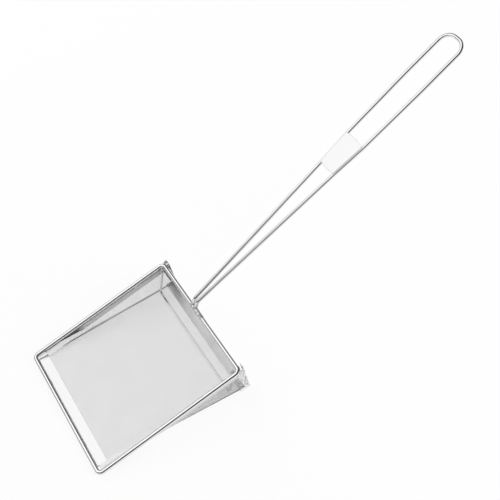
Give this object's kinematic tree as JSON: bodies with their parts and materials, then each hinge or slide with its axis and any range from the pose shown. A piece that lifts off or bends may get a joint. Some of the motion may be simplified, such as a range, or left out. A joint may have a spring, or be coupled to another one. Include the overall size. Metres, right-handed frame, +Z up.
{
  "type": "square mesh scoop",
  "caption": "Square dustpan-shaped scoop of fine wire cloth on a bent rim wire, with a long handle bent from one wire, for lifting fried food.",
  "frame": {"origin": "middle of the flat underside of the front strip", "axes": "+Z up from the plane the pan rests on, +Y from the front lip towards the handle, +X across the pan to the right"},
  "size_m": [0.206, 0.6119, 0.2577],
  "materials": {
    "rim_steel": "polished",
    "handle_steel": "polished",
    "brace_steel": "polished",
    "strip_steel": "bright rolled",
    "plate_steel": "bright rolled",
    "woven_cloth": "fine woven",
    "weld_steel": "dull weld"
  },
  "bodies": {
    "root": {"rim_wire": "rim_steel", "rim_butt_weld": "weld_steel", "cloth_tray": "woven_cloth", "back_cloth": "woven_cloth", "front_strip": "strip_steel", "left_corner_piece": "strip_steel", "right_corner_piece": "strip_steel", "left_side_strip": "strip_steel", "right_side_strip": "strip_steel", "back_strip": "strip_steel", "rear_floor_strip": "strip_steel", "left_corner_strip": "strip_steel", "right_corner_strip": "strip_steel", "strip_tack_welds": "weld_steel", "brace_wire": "brace_steel", "brace_welds": "weld_steel", "handle_wire": "handle_steel", "handle_foot_welds": "weld_steel", "handle_plate": "plate_steel", "handle_plate_welds": "weld_steel"}
  },
  "joints": []
}
